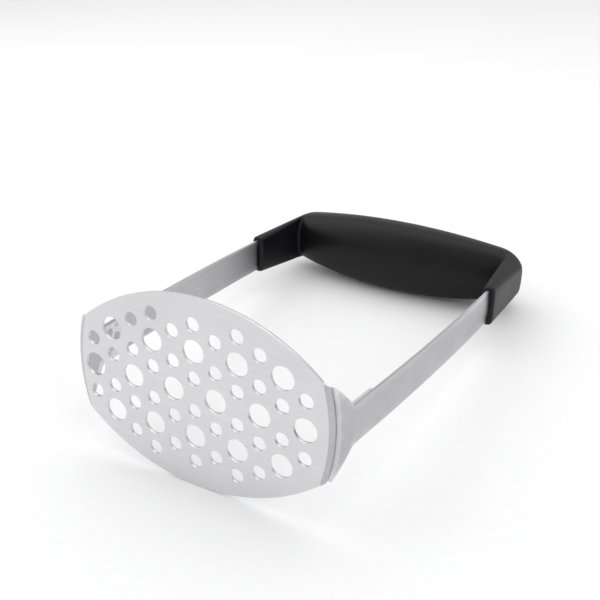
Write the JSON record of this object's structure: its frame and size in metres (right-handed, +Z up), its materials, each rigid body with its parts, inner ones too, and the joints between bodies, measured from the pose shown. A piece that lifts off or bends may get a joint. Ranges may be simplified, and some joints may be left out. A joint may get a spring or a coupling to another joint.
{
  "type": "potato masher",
  "caption": "Perforated lens-shaped steel mashing plate on two flat bowed steel arms under a wide black soft-grip handle, lying on its side.",
  "frame": {"origin": "on the ground under the middle of the masher, which lies on its side: the bottom centre of its bounding box", "axes": "+X along the plate's and the handle's length; +Y from the mashing plate to the handle, level; +Z up. The tool lies on the plate's long edge and the handle's underside, so its arms slope down a few degrees toward the handle"},
  "size_m": [0.1254, 0.1879, 0.0748],
  "materials": {
    "brushed_plate_steel": "fine brushed",
    "brushed_arm_steel": "fine brushed",
    "weld_steel": "bright pressed spot",
    "core_plastic": "moulded",
    "plated_steel": "zinc plated",
    "grip_rubber": "satin soft-touch"
  },
  "bodies": {
    "root": {"mashing_plate": "brushed_plate_steel", "left_arm": "brushed_arm_steel", "right_arm": "brushed_arm_steel", "left_spot_welds": "weld_steel", "right_spot_welds": "weld_steel", "core_top_half": "core_plastic", "core_bottom_half": "core_plastic", "core_screws": "plated_steel", "left_tang_pins": "plated_steel", "right_tang_pins": "plated_steel", "soft_grip": "grip_rubber"}
  },
  "joints": []
}
